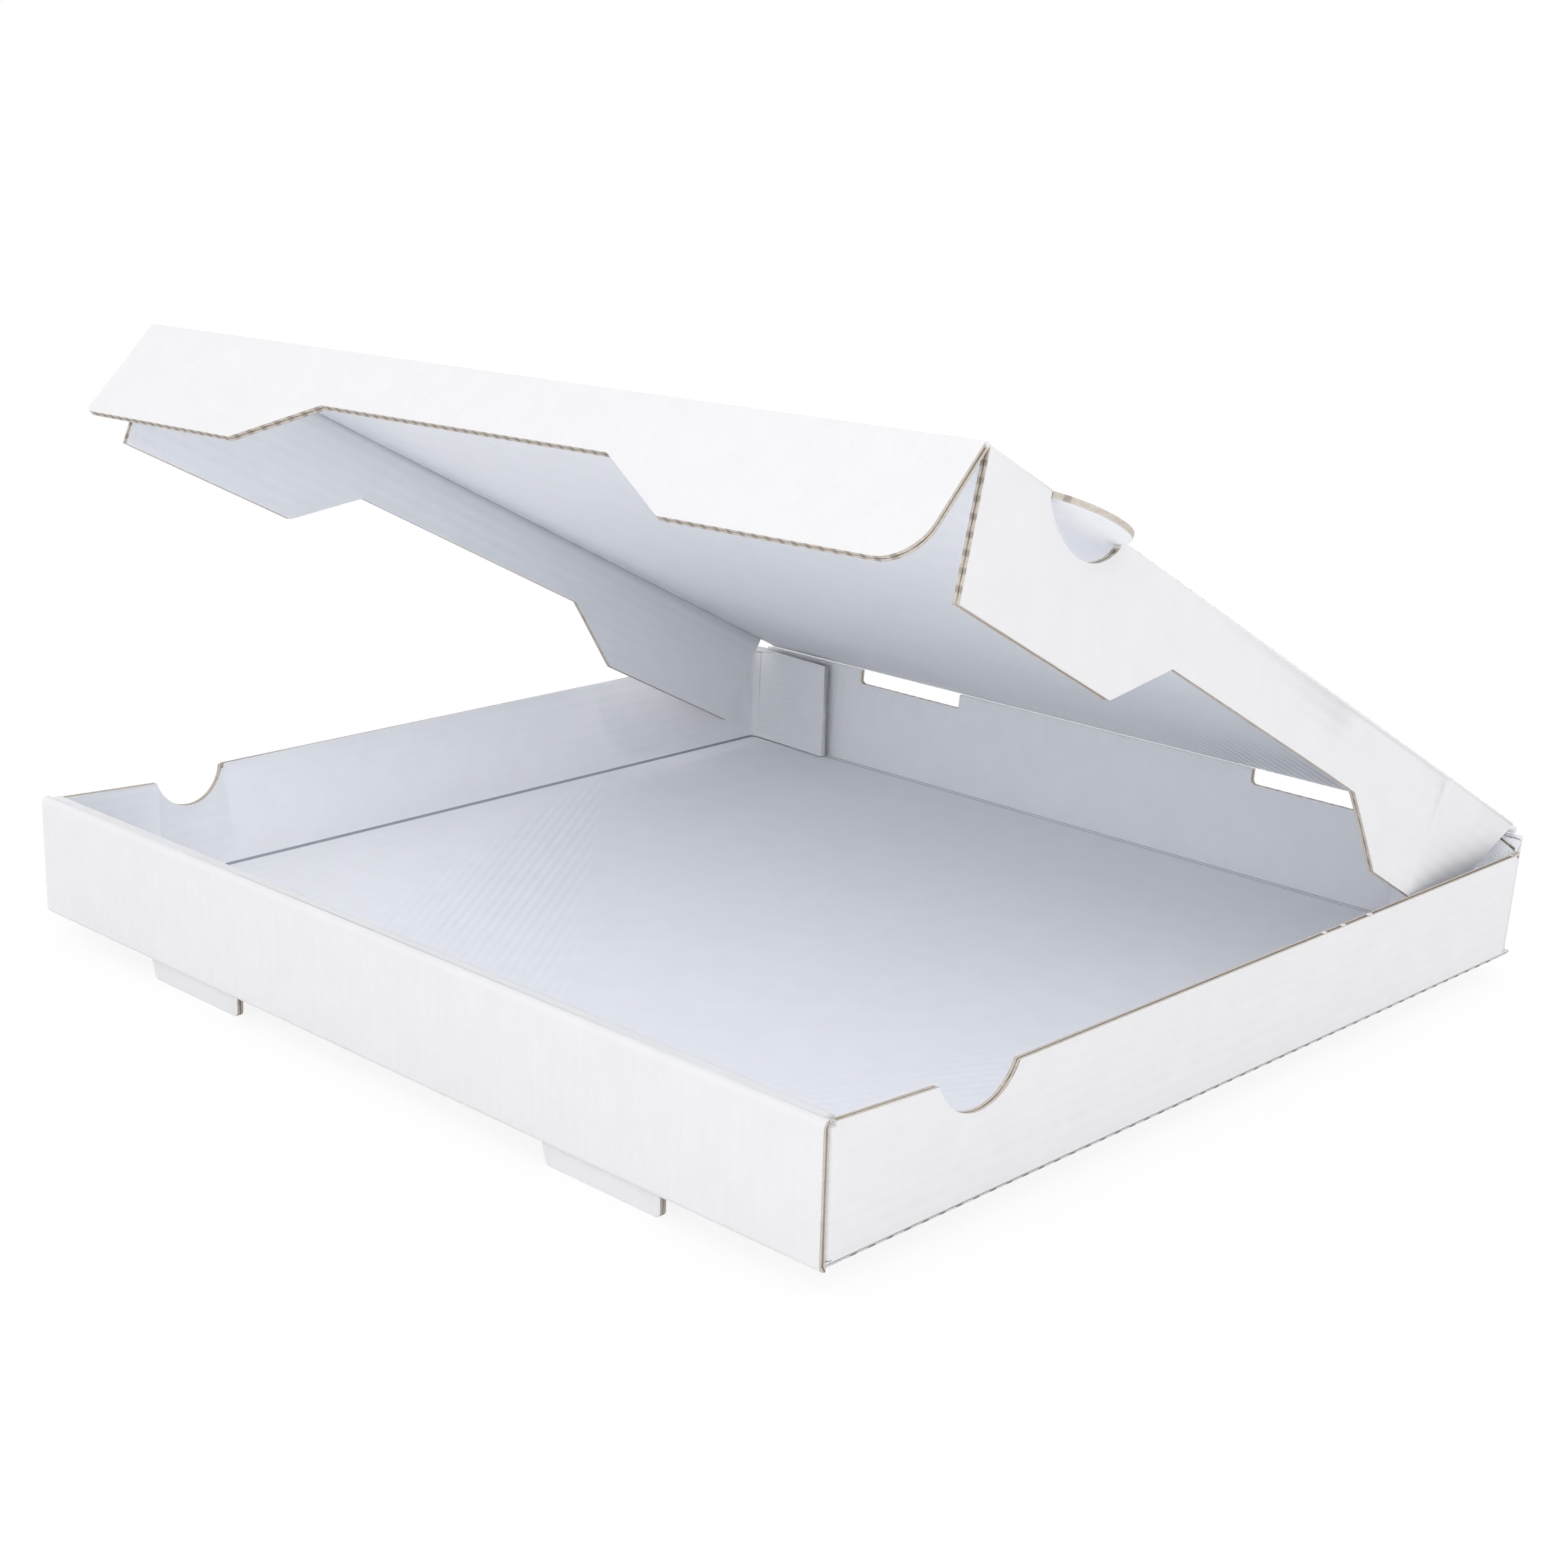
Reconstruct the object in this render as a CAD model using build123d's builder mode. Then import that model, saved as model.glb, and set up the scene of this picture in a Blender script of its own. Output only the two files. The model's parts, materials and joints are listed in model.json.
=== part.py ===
from build123d import *
import math
import os

os.makedirs("parts", exist_ok=True)

# A pizza box of fine-flute corrugated board, standing open.
# It is one die-cut sheet. The tray is folded up from the base: a front wall
# rolled over double and locked by two tabs, side walls with tuck flaps in the
# corners, and a rear wall that carries the lid on its top crease. The lid has
# three flaps on creases of their own. Front is -Y, the viewer's right is +X,
# and z = 0 is the underside of the base.

# Board, and the clearances of the folds
board = 1.6
crease_gap = 0.3
fit_gap = 0.2
seat_gap = 0.3
thumb_hole_gap = 0.4
thumb_tab_thinning = 0.15

# Tray
inner_width = 260.0
inner_depth = 247.8
front_height = 30.0
rear_height = 31.0
rear_lean = 6.2
side_height = 26.5
side_height_at_notch = 27.6
side_height_at_front = 29.2

# The left wall has sprung outward between its thumb notch and the rear corner
left_wall_height = 27.9
left_wall_lean = 16.0
left_wall_rear_lean = 5.0
left_wall_lean_ends_at = 60.0

# Locking tabs of the rolled front
tab_centre = 70.5
tab_width = 35.0
tab_drop = 5.2
tab_slant = 1.6
tab_corner = 1.5
tab_slot_gap = 0.6
tab_bend_height = 10.0

# Vents under the lid's crease
vent_centre = 70.5
vent_width = 39.0
vent_height = 5.2
vent_corner = 1.4

# Tuck flaps of the side walls
front_tuck_length = 28.0
rear_tuck_length = 31.0
rear_tuck_top_gap = 0.4
rear_tuck_shoulder = 7.0
rear_tuck_bend = 1.6
rear_tuck_splay = 4.0

# Thumb notches in the side walls, and the thumb tabs that lie over them
thumb_chord = 24.4
thumb_depth = 8.2
thumb_from_hinge = 209.5

# Lid, twisted a little: its right front corner stands higher than its left one
lid_open = 27.7
lid_twist = 1.185
hinge_strip = 3.0
lid_depth = 245.0
lid_side_gap = 0.4
crease_crush = 0.7

# Lid's side flaps: depth from the lid's top face, the rest along from the hinge
side_flap_depth = 29.8
side_recess_depth = 13.2
side_recess_centre = 128.0
side_recess_width = 84.0
side_recess_slope = 20.0
side_flap_front_set = 2.0
side_flap_front_taper = 1.0
side_flap_rear_set = 6.0
side_flap_rear_taper = 7.0
right_lean_front = 9.2
right_lean_middle = 7.0
right_middle_at = 100.0
right_lean_at_wall = 0.4
right_wall_reaches = 46.0
right_lean_rear = -22.5
left_lean_front = -2.5
left_lean_hinge = -9.2

# Lid's front flap
front_flap_depth = 27.8
front_flap_lean = 18.0
front_recess_depth = 12.2
front_recess_centre = -2.5
front_recess_width = 92.0
front_recess_slope = 23.0
front_flap_right_corner = 9.0
front_flap_left_corner = 1.5

# Sizes that follow from these
half_board = board / 2
box_width = inner_width + 2 * board
inner_side = inner_width / 2
inner_front = -inner_depth / 2
inner_rear = inner_depth / 2
ledge_underside = front_height - board
roll_face = inner_front + board + 2 * fit_gap
roll_back = roll_face + board
roll_half_width = inner_side - crease_gap
tuck_back = inner_front + fit_gap + board
tab_face = inner_front + fit_gap

rear_tilt = math.radians(rear_lean)
wall_up = Vector(0, math.sin(rear_tilt), math.cos(rear_tilt))
wall_out = Vector(0, math.cos(rear_tilt), -math.sin(rear_tilt))
rear_foot = Vector(0, inner_rear, board)
rear_run = (rear_height - board) / math.cos(rear_tilt)
rear_top = rear_foot + wall_up * (rear_run - half_board - crease_gap)
rear_station = inner_rear - board - fit_gap - rear_tuck_bend

# The lid turns about a line in the middle of the board, over the rear wall
hinge_point = rear_foot + wall_up * rear_run + wall_out * half_board
rear_tuck_top = hinge_point.Z - half_board - rear_tuck_top_gap
rear_tuck_height = rear_tuck_top - board - seat_gap
lid_tilt = math.radians(lid_open)
forward = Vector(0, -math.cos(lid_tilt), math.sin(lid_tilt))
lid_up = Vector(0, math.sin(lid_tilt), math.cos(lid_tilt))
lid_half_width = inner_side - lid_side_gap
side_axis = lid_half_width - half_board
front_axis = lid_depth - half_board
panel_half_width = lid_half_width - board - crease_gap
panel_run = lid_depth - board - crease_gap
thumb_radius = (thumb_chord**2 / 4 + thumb_depth**2) / (2 * thumb_depth)
notch_y = hinge_point.Y - thumb_from_hinge
notch_bottom = side_height_at_notch - thumb_depth - fit_gap
notch_front = notch_y - thumb_chord / 2
notch_rear = notch_y + thumb_chord / 2


def band(plane, points, side=Side.RIGHT, bend=0):
    """Section of the folded sheet: a line of inner faces, one board thick."""
    with BuildSketch(plane) as section:
        with BuildLine():
            if bend:
                FilletPolyline(*points, radius=bend)
            else:
                Polyline(*points)
            offset(amount=board, side=side, kind=Kind.ARC)
        make_face()
    return section.sketch


def hanging_board(plane, foot, direction, outward, run):
    """Section of a flat panel that runs from its crease in one direction."""
    end = (foot[0] + direction[0] * run, foot[1] + direction[1] * run)
    with BuildSketch(plane) as section:
        with BuildLine():
            Polyline(
                foot,
                end,
                (end[0] + outward[0] * board, end[1] + outward[1] * board),
                (foot[0] + outward[0] * board, foot[1] + outward[1] * board),
                close=True,
            )
        make_face()
    return section.sketch


def wall_section(side, y, lean, height, tilt=0.0):
    """Section of a side wall at y, leaning outward by lean degrees."""
    angle = math.radians(lean)
    plane = Plane(
        origin=(0, y, board),
        x_dir=(1, 0, 0),
        z_dir=(0, -math.cos(tilt), math.sin(tilt)),
    )
    return hanging_board(
        plane,
        (side * inner_side, 0),
        (side * math.sin(angle), math.cos(angle)),
        (side * math.cos(angle), -math.sin(angle)),
        height - board,
    )


def side_wall(side, height, lean_middle, lean_rear):
    """A side wall: upright at the front, leaning between notch and rear."""
    return [
        wall_section(side, tuck_back, 0, side_height_at_front),
        wall_section(side, notch_front, 0, side_height_at_notch),
        wall_section(side, notch_rear, lean_middle, height),
        wall_section(side, left_wall_lean_ends_at, lean_middle, height),
        wall_section(side, rear_station, lean_rear, height, rear_tilt),
    ]


def thumb_shape(plane, root, edge, tip, gap=0.0):
    """Thumb tab or its hole: straight sides from the root, then an arc."""
    half = thumb_chord / 2 + gap
    with BuildSketch(plane) as shape:
        with BuildLine():
            Line((root, -half), (edge, -half))
            ThreePointArc((edge, -half), (tip, 0), (edge, half))
            Line((edge, half), (root, half))
            Line((root, half), (root, -half))
        make_face()
    return shape.sketch


def lid_station(along):
    """Plane across the lid, some way along from the hinge: x right, y up."""
    twisted = max(along - hinge_strip, 0) / (lid_depth - hinge_strip)
    turn = math.radians(lid_twist) * twisted
    across = Vector(1, 0, 0) * math.cos(turn) + lid_up * math.sin(turn)
    return Plane(origin=hinge_point + forward * along, x_dir=across, z_dir=forward)


def lid_section(along):
    """Section of the lid's panel, crushed below at the two side creases."""
    with BuildSketch(lid_station(along)) as section:
        with BuildLine():
            Polyline(
                (-panel_half_width, half_board),
                (panel_half_width, half_board),
                (panel_half_width, crease_crush - half_board),
                (panel_half_width - crease_crush, -half_board),
                (crease_crush - panel_half_width, -half_board),
                (-panel_half_width, crease_crush - half_board),
                close=True,
            )
        make_face()
    return section.sketch


# Tray: base, double front, rear wall, side walls and tuck flaps, one sheet
with BuildPart() as tray:
    with BuildSketch(Plane.XY):
        Rectangle(inner_width, inner_depth)
    extrude(amount=board)

    # Rear wall with its fold, and the outer front panel with its folds
    rear_band = band(
        Plane.YZ,
        [(inner_rear - fit_gap, board), (inner_rear, board), (rear_top.Y, rear_top.Z)],
    )
    extrude(rear_band, amount=lid_half_width, both=True)
    front_band = band(
        Plane.YZ,
        [
            (inner_front + fit_gap, ledge_underside),
            (inner_front, ledge_underside),
            (inner_front, board),
            (inner_front + fit_gap, board),
        ],
    )
    extrude(front_band, amount=box_width / 2, both=True)

    # The front panel rolled over: ledge and inner panel
    roll_band = band(
        Plane.YZ,
        [
            (roll_face, board + seat_gap),
            (roll_face, ledge_underside),
            (inner_front, ledge_underside),
            (inner_front, ledge_underside - board),
        ],
    )
    extrude(roll_band, amount=roll_half_width, both=True)

    # Locking tabs: each bends forward out of the inner panel and drops through
    # a slot just behind the front fold
    tab_xs = (-tab_centre, tab_centre)
    for tab_x in tab_xs:
        with BuildSketch(Plane.XY.offset(board)):
            with Locations((tab_x, (roll_face + roll_back) / 2)):
                Rectangle(tab_width, board)
        extrude(amount=tab_bend_height - board, mode=Mode.SUBTRACT)
        with BuildSketch(Plane.XY):
            with Locations((tab_x, tab_face + board / 2)):
                Rectangle(tab_width + 2 * tab_slot_gap, board + 2 * fit_gap)
        extrude(amount=board, mode=Mode.SUBTRACT)
        tab_bend = band(
            Plane.YZ.offset(tab_x),
            [
                (roll_face, tab_bend_height + board),
                (roll_face, tab_bend_height),
                (tab_face, board),
                (tab_face, 0),
            ],
            Side.LEFT,
        )
        extrude(tab_bend, amount=tab_width / 2, both=True)
        tab_plane = Plane(origin=(tab_x, tab_face + board, 0), x_dir=(1, 0, 0), z_dir=(0, -1, 0))
        with BuildSketch(tab_plane) as tab:
            with BuildLine():
                Polyline(
                    (-tab_width / 2, board / 2),
                    (-tab_width / 2, 0),
                    (-tab_width / 2 + tab_slant, -tab_drop),
                    (tab_width / 2, -tab_drop),
                    (tab_width / 2, board / 2),
                    close=True,
                )
            make_face()
            fillet(tab.vertices().group_by(Axis.Y)[0], radius=tab_corner)
        extrude(amount=board)

    # Side walls, each with a rounded fold along the base
    loft(side_wall(1, side_height, 0, 0), ruled=True)
    loft(side_wall(-1, left_wall_height, left_wall_lean, left_wall_rear_lean), ruled=True)
    with BuildSketch(Plane.XZ.offset(-inner_rear)) as side_folds:
        with Locations((-inner_side, board), (inner_side, board)):
            Circle(board)
        with Locations((0, board * 1.5)):
            Rectangle(2 * box_width, board, mode=Mode.SUBTRACT)
        Rectangle(inner_width, 2 * board, mode=Mode.SUBTRACT)
    extrude(amount=inner_depth)

    # Front tuck flaps, held between the two front panels
    for side, face in ((1, Side.RIGHT), (-1, Side.LEFT)):
        front_tuck = band(
            Plane.XY.offset(board + seat_gap),
            [
                (side * (inner_side - front_tuck_length), tuck_back),
                (side * inner_side, tuck_back),
                (side * inner_side, tuck_back + board),
            ],
            face,
        )
        extrude(front_tuck, amount=ledge_underside - board - 2 * seat_gap)

    # Rear tuck flaps, softly bent and standing a little off the rear wall
    splay = rear_tuck_length * math.tan(math.radians(rear_tuck_splay))
    tuck_line = inner_rear - board - fit_gap
    for side, face, lean, wall_top in (
        (1, Side.RIGHT, 0, side_height),
        (-1, Side.LEFT, left_wall_rear_lean, left_wall_height),
    ):
        corner_up = Vector(side * math.tan(math.radians(lean)), math.tan(rear_tilt), 1)
        foot = corner_up * seat_gap
        rear_tuck = band(
            Plane(origin=(foot.X, foot.Y, board + seat_gap)),
            [
                (side * inner_side, tuck_line - rear_tuck_bend - board),
                (side * inner_side, tuck_line),
                (side * (inner_side - rear_tuck_length), tuck_line - splay),
            ],
            face,
            rear_tuck_bend,
        )
        extrude(rear_tuck, amount=rear_tuck_height, dir=corner_up)
        # Each tuck flap's top slopes down to its fold at the side wall
        with BuildSketch(Plane.XZ.offset(-tuck_line - 2 * board)):
            with BuildLine():
                Polyline(
                    (side * (inner_side - rear_tuck_shoulder), rear_height),
                    (side * (inner_side - rear_tuck_shoulder), rear_tuck_top),
                    (side * inner_side, wall_top),
                    (side * (box_width / 2 + rear_tuck_shoulder), wall_top),
                    (side * (box_width / 2 + rear_tuck_shoulder), rear_height),
                    close=True,
                )
            make_face()
        extrude(amount=rear_tuck_length, mode=Mode.SUBTRACT)

    # Thumb notches in both side walls
    with BuildSketch(Plane.YZ):
        with Locations((notch_y, notch_bottom + thumb_radius)):
            Circle(thumb_radius)
    extrude(amount=box_width, both=True, mode=Mode.SUBTRACT)

    # Vents in the top of the rear wall
    vent_plane = Plane(origin=rear_foot + wall_up * rear_run, x_dir=(1, 0, 0), z_dir=-wall_out)
    with BuildSketch(vent_plane) as vents:
        with Locations((-vent_centre, -vent_height / 2), (vent_centre, -vent_height / 2)):
            Rectangle(vent_width, vent_height)
        lower_corners = vents.vertices().group_by(Axis.Y)[0].sort_by(Axis.X)
        fillet([lower_corners[0], lower_corners[2]], radius=vent_corner)
    extrude(amount=2 * board, both=True, mode=Mode.SUBTRACT)
tray.part.label = "tray"
export_step(tray.part, "parts/tray.step")

# Lid panel, with its rounded hinge edge and the two thumb tabs
thumb_station = lid_station(thumb_from_hinge)
with BuildPart() as lid:
    extrude(lid_section(0), amount=hinge_strip)
    loft([lid_section(hinge_strip), lid_section(panel_run)], ruled=True)
    with BuildSketch(Plane(origin=hinge_point, z_dir=(1, 0, 0))):
        Circle(half_board)
    extrude(amount=panel_half_width, both=True)
    for side in (1, -1):
        thumb_tab = thumb_shape(
            Plane(
                origin=thumb_station.origin,
                x_dir=thumb_station.x_dir * side,
                z_dir=thumb_station.y_dir,
            ),
            panel_half_width - board,
            lid_half_width,
            lid_half_width + thumb_depth,
        )
        extrude(thumb_tab, amount=half_board - thumb_tab_thinning, both=True)
lid.part.label = "lid"
export_step(lid.part, "parts/lid.step")


def crease_end(side, along):
    """Point on the fold line of a side flap, some way along from the hinge."""
    return lid_station(along).from_local_coords((side * side_axis, 0))


def flap_section(side, along, lean):
    """Section of a lid's side flap, leaning outward by lean degrees."""
    angle = math.radians(lean)
    outward = (side * math.cos(angle), math.sin(angle))
    return hanging_board(
        lid_station(along),
        (side * side_axis - outward[0] * half_board, -outward[1] * half_board),
        (side * math.sin(angle), -math.cos(angle)),
        outward,
        side_flap_depth - half_board,
    )


def crease_direction(side):
    """From the hinge to the front along a side flap's fold."""
    return crease_end(side, lid_depth) - crease_end(side, 0)


def side_fold(side):
    """Rounded edge of a side flap along its fold."""
    with BuildSketch(Plane(origin=crease_end(side, 0), z_dir=crease_direction(side))) as fold:
        Circle(half_board)
    return fold.sketch


def side_flap_cuts(side):
    """The recess, the slanted ends and the thumb hole, seen from the side."""
    top = half_board
    bottom = top - side_flap_depth
    front_top = lid_depth - side_flap_front_set
    front_bottom = front_top - side_flap_front_taper
    rear_bottom = side_flap_rear_set + side_flap_rear_taper
    recess_top = bottom + side_recess_depth
    recess_half = side_recess_width / 2
    reach = 2 * board
    start = crease_end(side, 0)
    crease = crease_direction(side)
    flat_crease = Vector(0, crease.Y, crease.Z)
    with BuildSketch(Plane(origin=start, x_dir=flat_crease, z_dir=(-1, 0, 0))) as cuts:
        with BuildLine():
            Polyline(
                (side_recess_centre - recess_half, recess_top),
                (side_recess_centre + recess_half, recess_top),
                (side_recess_centre + recess_half + side_recess_slope, bottom),
                (side_recess_centre + recess_half + side_recess_slope, bottom - reach),
                (side_recess_centre - recess_half - side_recess_slope, bottom - reach),
                (side_recess_centre - recess_half - side_recess_slope, bottom),
                close=True,
            )
        make_face()
        with BuildLine():
            Polyline(
                (-reach, top + reach),
                (side_flap_rear_set, top + reach),
                (side_flap_rear_set, top),
                (rear_bottom, bottom),
                (rear_bottom, bottom - reach),
                (-reach, bottom - reach),
                close=True,
            )
        make_face()
        with BuildLine():
            Polyline(
                (lid_depth + reach, top + reach),
                (front_top, top + reach),
                (front_top, top),
                (front_bottom, bottom),
                (front_bottom, bottom - reach),
                (lid_depth + reach, bottom - reach),
                close=True,
            )
        make_face()
    down = -lid_up
    hole_plane = Plane(
        origin=start + crease * (thumb_from_hinge / lid_depth),
        x_dir=(0, down.Y, down.Z),
        z_dir=(-1, 0, 0),
    )
    hole = thumb_shape(
        hole_plane,
        -reach,
        half_board + thumb_hole_gap,
        thumb_depth - half_board + thumb_hole_gap,
        thumb_hole_gap,
    )
    return cuts.sketch + hole


# Right side flap: its front end stands outward, its rear end curls into the tray
right_stations = (
    (0, right_lean_rear),
    (right_wall_reaches, right_lean_at_wall),
    (right_middle_at, right_lean_middle),
    (lid_depth, right_lean_front),
)
crease_length = crease_direction(1).length
with BuildPart() as lid_right_flap:
    loft([flap_section(1, along, lean) for along, lean in right_stations], ruled=True)
    extrude(side_fold(1), amount=crease_length)
    extrude(side_flap_cuts(1), amount=box_width, both=True, mode=Mode.SUBTRACT)
lid_right_flap.part.label = "lid_right_flap"
export_step(lid_right_flap.part, "parts/lid_right_flap.step")

# Left side flap: leaning inward, most of all at the hinge
left_stations = ((0, left_lean_hinge), (lid_depth, left_lean_front))
with BuildPart() as lid_left_flap:
    loft([flap_section(-1, along, lean) for along, lean in left_stations], ruled=True)
    extrude(side_fold(-1), amount=crease_length)
    extrude(side_flap_cuts(-1), amount=box_width, both=True, mode=Mode.SUBTRACT)
lid_left_flap.part.label = "lid_left_flap"
export_step(lid_left_flap.part, "parts/lid_left_flap.step")

# Front flap: leaning forward from the lid's front crease, two lobes
flap_tilt = math.radians(front_flap_lean)
front_station = lid_station(front_axis)
front_flap_plane = Plane(
    origin=front_station.origin,
    x_dir=front_station.x_dir,
    z_dir=forward * math.cos(flap_tilt) + front_station.y_dir * math.sin(flap_tilt),
)
front_flap_bottom = half_board - front_flap_depth
front_recess_top = front_flap_bottom + front_recess_depth
front_recess_left = front_recess_centre - front_recess_width / 2
front_recess_right = front_recess_centre + front_recess_width / 2
with BuildPart() as lid_front_flap:
    with BuildSketch(front_flap_plane) as outline:
        with BuildLine():
            Polyline(
                (-lid_half_width, 0),
                (-lid_half_width, front_flap_bottom),
                (front_recess_left - front_recess_slope, front_flap_bottom),
                (front_recess_left, front_recess_top),
                (front_recess_right, front_recess_top),
                (front_recess_right + front_recess_slope, front_flap_bottom),
                (lid_half_width, front_flap_bottom),
                (lid_half_width, 0),
                close=True,
            )
        make_face()
        lower = outline.vertices().group_by(Axis.Y)[0].sort_by(Axis.X)
        fillet(lower[0], radius=front_flap_left_corner)
        lower = outline.vertices().group_by(Axis.Y)[0].sort_by(Axis.X)
        fillet(lower[-1], radius=front_flap_right_corner)
    extrude(amount=half_board, both=True)
    with BuildSketch(Plane(origin=front_station.origin, z_dir=front_station.x_dir)):
        Circle(half_board)
    extrude(amount=lid_half_width, both=True)
lid_front_flap.part.label = "lid_front_flap"
export_step(lid_front_flap.part, "parts/lid_front_flap.step")
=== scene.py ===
# %% [markdown]
# # A pizza box of white corrugated board
# The real box is one die-cut sheet of E-flute board: two white paper liners with a wavy kraft
# paper between them. It could be drawn as plain white plates, but then it would read as
# plastic. What says "corrugated board" is at the edges: a cut across the flutes shows the
# brown wave, a cut along them a plain brown line, and a fold shows its crease and its
# perforation. So each folded panel is a copy of the solid model, and its cut edges are
# opened up and filled with a real paper wave.

import json
import math

import bmesh
import bpy
from mathutils import Matrix, Vector
from mathutils.bvhtree import BVHTree


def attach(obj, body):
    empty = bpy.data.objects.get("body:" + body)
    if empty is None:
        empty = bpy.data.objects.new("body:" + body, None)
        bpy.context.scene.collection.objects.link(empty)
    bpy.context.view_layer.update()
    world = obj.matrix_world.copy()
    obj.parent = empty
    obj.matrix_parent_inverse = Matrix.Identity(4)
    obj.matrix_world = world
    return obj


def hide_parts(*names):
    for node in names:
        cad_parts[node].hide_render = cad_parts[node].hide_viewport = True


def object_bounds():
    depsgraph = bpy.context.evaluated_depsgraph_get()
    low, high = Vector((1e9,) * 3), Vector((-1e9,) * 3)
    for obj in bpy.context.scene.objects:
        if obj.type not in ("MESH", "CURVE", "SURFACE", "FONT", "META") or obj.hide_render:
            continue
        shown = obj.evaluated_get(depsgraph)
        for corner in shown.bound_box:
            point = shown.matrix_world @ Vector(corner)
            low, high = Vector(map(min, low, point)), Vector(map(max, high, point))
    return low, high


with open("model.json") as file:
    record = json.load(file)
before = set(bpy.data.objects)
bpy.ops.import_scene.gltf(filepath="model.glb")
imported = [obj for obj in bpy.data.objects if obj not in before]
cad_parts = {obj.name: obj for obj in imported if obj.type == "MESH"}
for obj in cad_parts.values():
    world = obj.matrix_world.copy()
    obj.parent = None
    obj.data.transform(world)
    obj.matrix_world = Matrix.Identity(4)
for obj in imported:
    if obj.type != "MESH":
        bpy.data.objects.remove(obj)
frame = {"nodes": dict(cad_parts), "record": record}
solid_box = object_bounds()
record = frame["record"]

# %% [markdown]
# The sizes of the board are real ones. E-flute is about 1.6 mm thick, its liners are about
# 0.2 mm of paper, which the cutting die presses over the core so that 0.6 mm of white shows,
# and its waves repeat every 3.3 mm. Blender measures in metres, so a factor mm turns
# millimetres into them. Where the lid lies is read from its joints, and lid_up points out of
# the lid's outer side.

# %% Sizes of the board
mm = 0.001
BOARD = 1.6 * mm        # thickness of the whole board
LINER = 0.64 * mm       # white lip of each liner at a cut
FLUTE_PITCH = 3.3 * mm  # one wave of the fluted paper
PAPER = 0.15 * mm       # thickness of the fluted paper
CUT_DEPTH = 0.55 * mm   # depth of the groove between the lips

joints = {joint["name"]: joint for joint in record["behaviour"]["joints"]}
hinge = Vector(joints["lid_hinge"]["pos_m"])
front_fold = Vector(joints["front_flap_fold"]["pos_m"])
lid_forward = (front_fold - hinge).normalized()
lid_up = lid_forward.cross(Vector((1, 0, 0)))
print("hinge at", [round(value / mm, 2) for value in hinge], "mm")

# %% [markdown]
# The camera stands where the photographer stood. Its place and lens were solved from the
# box's corners in the photo. A camera looks along its own -Z, so its matrix is built from
# the three directions right, up and back, with a small roll because the photo leans a little.

# %% Camera
PHOTO_SIDE = 1568
FOCAL_PIXELS = 2577.06
CAMERA_PLACE = Vector((416.07, -437.11, 217.09)) * mm
CAMERA_FORWARD = Vector((-0.66123, 0.69458, -0.28341)).normalized()
CAMERA_ROLL = math.radians(1.653)


def placed(name, data):
    """A new object that shows the data, linked to the scene."""
    made = bpy.data.objects.new(name, data)
    bpy.context.scene.collection.objects.link(made)
    return made


def make_camera():
    """The photo's camera, with right, up and back as the columns of its matrix."""
    level_right = CAMERA_FORWARD.cross(Vector((0, 0, 1))).normalized()
    level_up = level_right.cross(CAMERA_FORWARD)
    right = level_right * math.cos(CAMERA_ROLL) + level_up * math.sin(CAMERA_ROLL)
    up = level_up * math.cos(CAMERA_ROLL) - level_right * math.sin(CAMERA_ROLL)
    turn = Matrix((right, up, -CAMERA_FORWARD)).transposed().to_4x4()
    data = bpy.data.cameras.new("photo_camera")
    data.sensor_width = 36.0
    data.sensor_fit = "HORIZONTAL"
    data.lens = FOCAL_PIXELS * data.sensor_width / PHOTO_SIDE
    data.clip_start = 0.01
    data.clip_end = 50
    camera = placed("photo_camera", data)
    camera.matrix_world = Matrix.Translation(CAMERA_PLACE) @ turn
    bpy.context.scene.camera = camera
    return camera


camera = make_camera()
print("lens", round(camera.data.lens, 2), "mm")

# %% [markdown]
# Colours are written as sRGB hex, as in a paint program, but a shader works on linear light.
# One function does that change. Another adds a node with its settings and its links in one
# line, which keeps the trees below short enough to read.

# %% Helpers for colours and nodes
def linear(hex_colour):
    """An sRGB hex colour as the linear RGBA that a shader takes."""
    channels = [int(hex_colour[i:i + 2], 16) / 255 for i in (0, 2, 4)]
    light = [c / 12.92 if c <= 0.04045 else ((c + 0.055) / 1.055) ** 2.4 for c in channels]
    return (*light, 1.0)


def add(tree, kind, inputs=None, **settings):
    """A new node. An input given as a socket is linked, any other value is set."""
    node = tree.nodes.new(kind)
    for name, value in settings.items():
        setattr(node, name, value)
    for key, value in (inputs or {}).items():
        if isinstance(value, bpy.types.NodeSocket):
            tree.links.new(value, node.inputs[key])
        else:
            node.inputs[key].default_value = value
    return node


def new_material(name):
    """A material with an empty tree of nodes."""
    material = bpy.data.materials.new(name)
    material.use_nodes = True
    material.node_tree.nodes.clear()
    return material


print("middle grey as linear light:", round(linear("808080")[0], 3))

# %% [markdown]
# The box stands on a white sweep under soft light. The floor is a matt white whose camera
# rays are lifted nearly to white, so that it stays as clean as the photo's background and
# still carries the box's soft shadow. The world is an even white, as inside a light tent.
# Three large, weak lamps, two in front and one above, give the panels their slight
# differences.

# %% Floor, world and lamps
FLOOR_HEIGHT = solid_box[0][2]
FLOOR_REACH = 6.0
FLOOR_WHITE = "F8F8F8"
FLOOR_LIFT = 0.88  # share of plain white that the camera sees in the floor
TENT_WHITE = "FCFCFE"
TENT_STRENGTH = 1.06
LAMP_AIM = Vector((0, 0, 0.05))


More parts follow.
